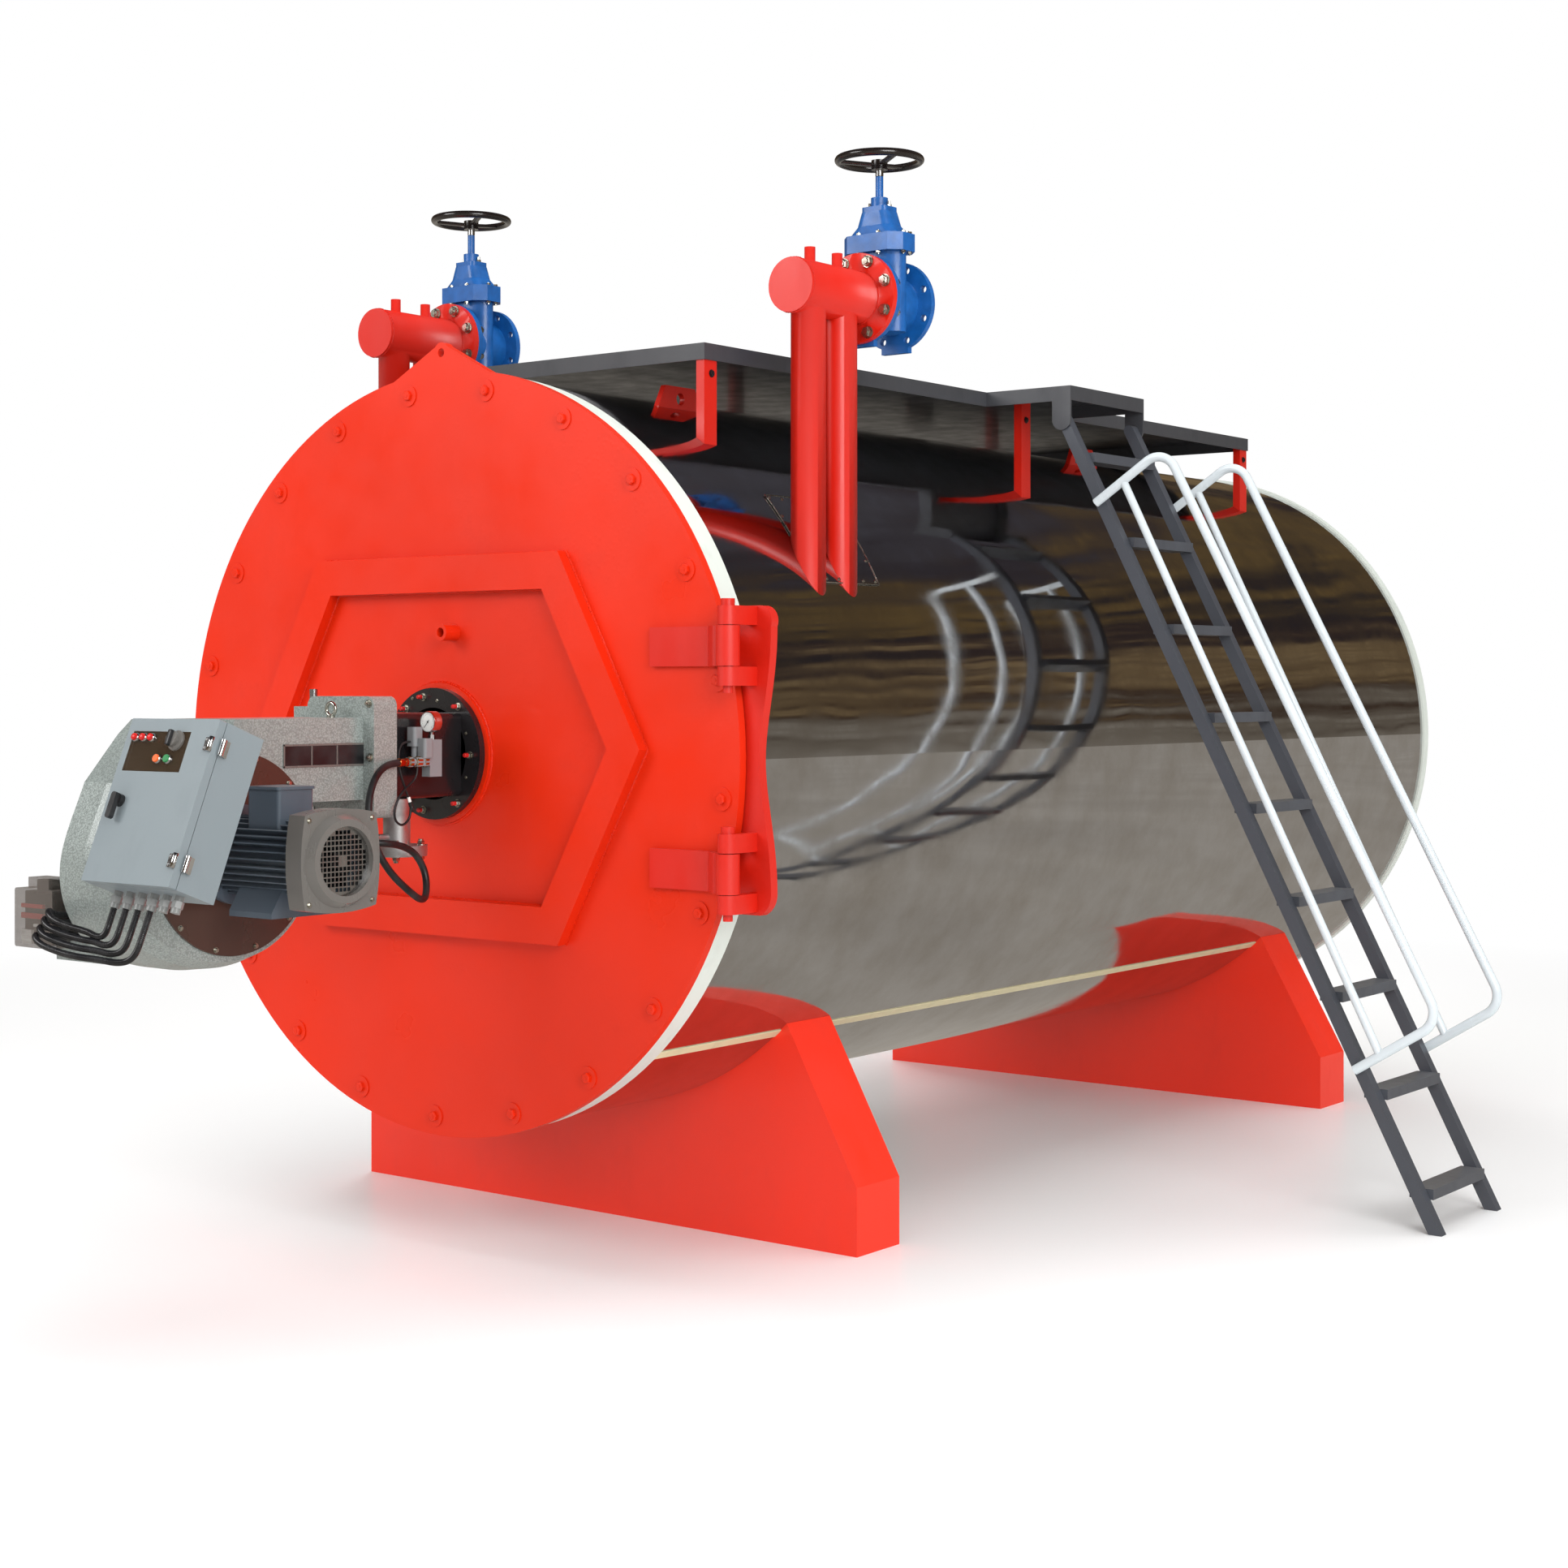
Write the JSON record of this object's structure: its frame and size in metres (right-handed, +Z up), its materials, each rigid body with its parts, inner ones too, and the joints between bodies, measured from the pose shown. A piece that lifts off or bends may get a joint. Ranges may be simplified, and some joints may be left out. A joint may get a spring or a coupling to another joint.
{
  "type": "fire-tube boiler",
  "caption": "Horizontal fire-tube boiler on saddles with a hinged front door that carries its burner, top headers with gate valves, a walkway and a side ladder.",
  "frame": {"origin": "on the floor at the middle of the front saddle base", "axes": "+X to the ladder and hinge side, +Y from the burner door to the flue end, +Z up"},
  "size_m": [3.6174, 6.5197, 3.4585],
  "materials": {
    "door_red": "gloss paint",
    "saddle_red": "gloss paint",
    "mirror_steel": "polished stainless sheet",
    "rim_paint": "satin paint",
    "deck_grey": "satin paint",
    "ladder_grey": "satin paint",
    "rail_pale": "gloss paint",
    "valve_blue": "satin epoxy paint",
    "wheel_black": "gloss enamel",
    "hammer_grey": "hammered paint",
    "burner_brown": "gloss paint",
    "cabinet_blue": "satin paint",
    "clear_window": "clear",
    "control_red": "gloss",
    "hinge_chrome": "polished",
    "black_plastic": "satin",
    "gland_plastic": "matt",
    "refractory": "rough cast",
    "scaled_steel": "dull heat-tinted",
    "bare_steel": "machined",
    "flue_grey": "heat-proof paint",
    "motor_grey": "satin paint",
    "alloy": "cast",
    "cable_black": "matt",
    "conduit_grey": "matt"
  },
  "bodies": {
    "boiler": {"cladding_shell": "mirror_steel", "flue_outlet": "flue_grey", "front_ring": "rim_paint", "front_saddle": "saddle_red", "front_tube_plate": "scaled_steel", "furnace_tube": "scaled_steel", "handrails": "rail_pale", "headers": "door_red", "hinge_bracket": "door_red", "hinge_pins": "bare_steel", "ladder_stringers": "ladder_grey", "ladder_treads": "ladder_grey", "pipe_covers": "mirror_steel", "rear_cleanout": "rim_paint", "rear_plate": "rim_paint", "rear_ring": "rim_paint", "rear_saddle": "saddle_red", "lifting_lugs": "door_red", "seam_strips": "rim_paint", "valve_bodies": "valve_blue", "valve_bonnets": "valve_blue", "walkway_deck": "deck_grey", "walkway_posts": "door_red"},
    "front_door": {"door_plate": "door_red", "door_insulation": "refractory", "hexagon_frame": "door_red", "hinge_straps": "door_red", "burner_flange": "wheel_black", "burner_head": "scaled_steel", "burner_neck": "burner_brown", "burner_plate": "burner_brown", "burner_housing": "hammer_grey", "burner_pin": "bare_steel", "volute_cover": "burner_brown", "air_intake": "hammer_grey", "fan_motor": "motor_grey", "motor_cowl": "motor_grey", "fan_grille": "bare_steel", "control_cabinet": "cabinet_blue", "cabinet_hinges": "hinge_chrome", "cable_glands": "gland_plastic", "cabinet_bracket": "black_plastic", "gas_inlet": "wheel_black", "pilot_valves": "alloy", "pressure_gauge": "black_plastic", "pressure_switch": "clear_window", "damper_drive": "black_plastic", "main_hose": "cable_black", "pilot_lead": "cable_black", "gland_conduit_1": "conduit_grey", "gland_conduit_2": "conduit_grey", "gland_conduit_3": "conduit_grey", "gland_conduit_4": "conduit_grey"},
    "cabinet_leaf": {"cabinet_door": "cabinet_blue", "cabinet_window": "clear_window", "cabinet_controls": "control_red"},
    "cabinet_latch": {"cabinet_handle": "black_plastic"},
    "right_wheel": {"handwheel_right": "wheel_black"},
    "left_wheel": {"handwheel_left": "wheel_black"},
    "fan_rotor": {"motor_fan": "black_plastic"}
  },
  "joints": [
    {"name": "front_door_hinge", "type": "hinge", "parent": "boiler", "child": "front_door", "pos_m": [1.206, -0.894, 1.56], "axis": [0, 0, 1], "range_deg": [0, 100]},
    {"name": "cabinet_hinge", "type": "hinge", "parent": "front_door", "child": "cabinet_leaf", "pos_m": [0.52, -2.18162, 1.46416], "axis": [0, 0.3649, 0.9311], "range_deg": [0, 115]},
    {"name": "cabinet_latch_turn", "type": "hinge", "parent": "cabinet_leaf", "child": "cabinet_latch", "pos_m": [0.212, -2.20765, 1.46899], "axis": [0, -0.9311, 0.3649], "range_deg": [0, 90]},
    {"name": "right_wheel_turn", "type": "hinge", "parent": "boiler", "child": "right_wheel", "pos_m": [1.026, 0.099, 3.446], "axis": [0, 0, 1], "continuous": true},
    {"name": "left_wheel_turn", "type": "hinge", "parent": "boiler", "child": "left_wheel", "pos_m": [-0.72, 0.024, 3.446], "axis": [0, 0, 1], "continuous": true},
    {"name": "motor_fan_turn", "type": "hinge", "parent": "front_door", "child": "fan_rotor", "pos_m": [0.54, -1.762, 1.301], "axis": [1, 0, 0], "continuous": true}
  ]
}
